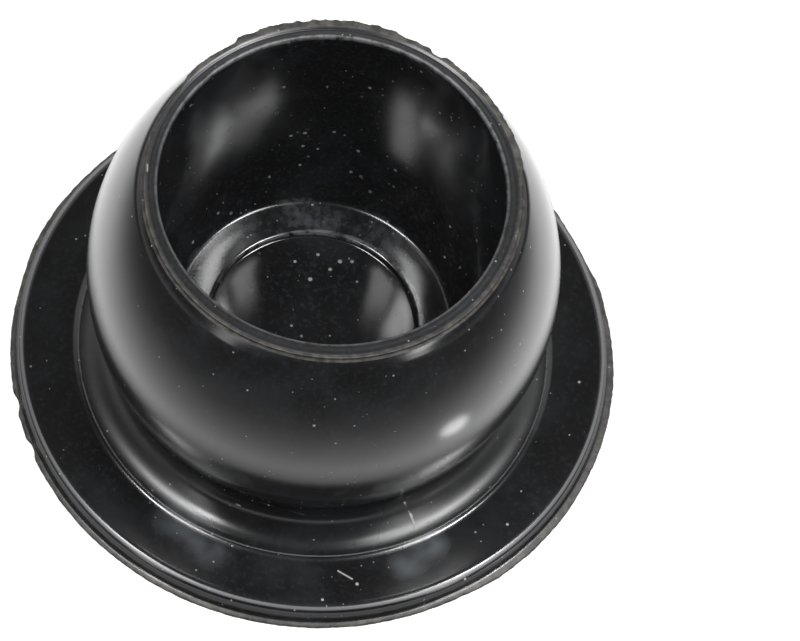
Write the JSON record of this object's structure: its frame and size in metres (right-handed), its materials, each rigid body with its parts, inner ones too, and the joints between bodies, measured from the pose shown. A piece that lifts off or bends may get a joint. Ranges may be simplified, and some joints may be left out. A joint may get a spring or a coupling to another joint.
{
  "type": "blanking plug",
  "caption": "Push-in rubber blanking plug: thin round flange, waisted neck, snap-in barrel with a deep open hollow.",
  "frame": {"origin": "middle of the flat underside of the flange", "axes": "+Z along the plug's axis of revolution, from the flange to the open mouth; X and Y lie in the underside"},
  "size_m": [0.026, 0.026, 0.0145],
  "materials": {
    "rubber": "glossy moulded black rubber, dusty, lightly scuffed, with ragged moulding flash at the edges"
  },
  "bodies": {
    "root": {"plug": "rubber"}
  },
  "joints": []
}
